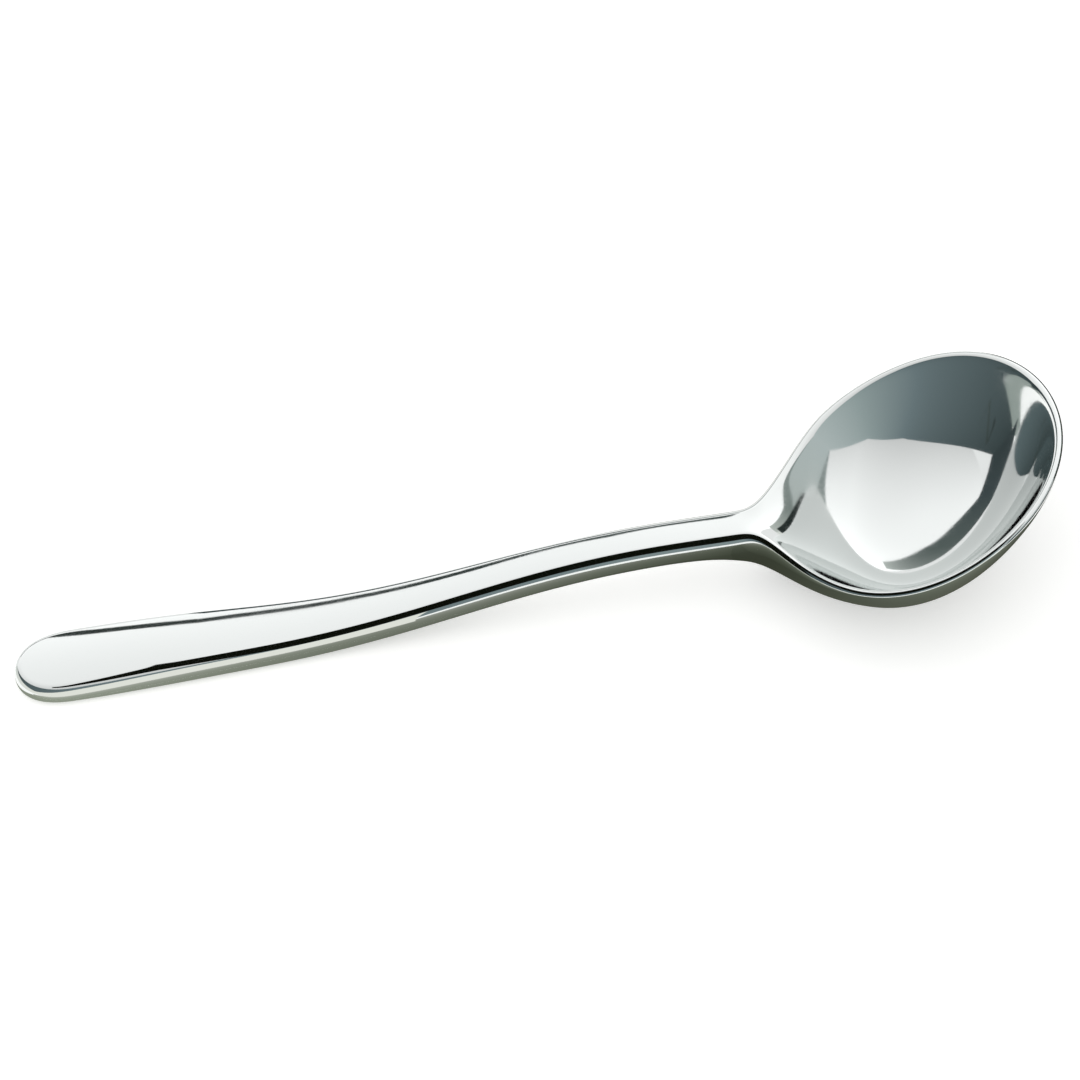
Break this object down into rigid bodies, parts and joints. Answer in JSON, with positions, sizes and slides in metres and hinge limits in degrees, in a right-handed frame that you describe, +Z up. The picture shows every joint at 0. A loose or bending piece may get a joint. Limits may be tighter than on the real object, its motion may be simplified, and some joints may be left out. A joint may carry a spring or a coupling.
{
  "type": "soup spoon",
  "caption": "Soup spoon with a deep round bowl, a slim raised neck and a handle that broadens to a rounded end, polished all over.",
  "frame": {"origin": "on the table, midway between the end of the handle and the tip of the bowl, on the middle line", "axes": "+X along the spoon towards the tip of the bowl, +Y across, +Z up out of the bowl"},
  "size_m": [0.17, 0.0486, 0.0245],
  "materials": {
    "polished_steel": "mirror-polished stainless steel, not plated"
  },
  "bodies": {
    "root": {"spoon": "polished_steel"}
  },
  "joints": []
}
